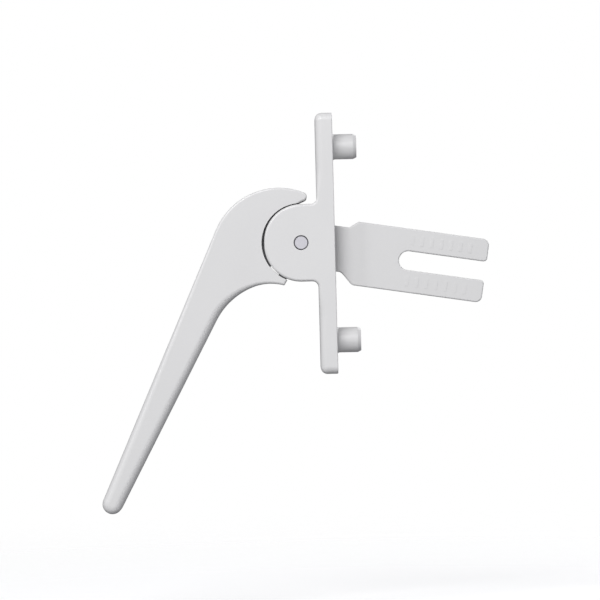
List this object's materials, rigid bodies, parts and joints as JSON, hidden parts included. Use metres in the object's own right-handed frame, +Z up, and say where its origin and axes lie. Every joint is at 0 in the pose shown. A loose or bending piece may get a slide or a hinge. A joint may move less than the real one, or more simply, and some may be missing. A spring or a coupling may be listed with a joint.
{
  "type": "fork window handle",
  "caption": "Casement window handle: base plate with two rear bosses, hub with a cross pin, hooked lever, and a two-pronged fork that passes through the plate.",
  "frame": {"origin": "centre of the base plate's mounting face", "axes": "+X out of the mounting face into the window profile, +Y along the pivot pin, +Z up along the base plate"},
  "size_m": [0.1624, 0.022, 0.1633],
  "materials": {
    "coat": "satin",
    "fork_coat": "satin",
    "pin_steel": "satin",
    "spring_steel": "satin",
    "bush_bronze": "satin",
    "washer_nylon": "matte"
  },
  "bodies": {
    "base_body": {"base": "coat", "pivot_pin": "pin_steel", "thrust_washer_near": "washer_nylon", "thrust_washer_far": "washer_nylon"},
    "lever_body": {"lever": "coat", "fork": "fork_coat", "pivot_bush": "bush_bronze", "fork_dowel_upper": "pin_steel", "fork_dowel_lower": "pin_steel", "detent_ball_near": "spring_steel", "detent_ball_far": "spring_steel", "detent_spring": "spring_steel"}
  },
  "joints": [
    {"name": "lever_swing", "type": "hinge", "parent": "base_body", "child": "lever_body", "pos_m": [-0.014, 0, 0.0005], "axis": [0, 1, 0], "range_deg": [-26, 9]}
  ]
}
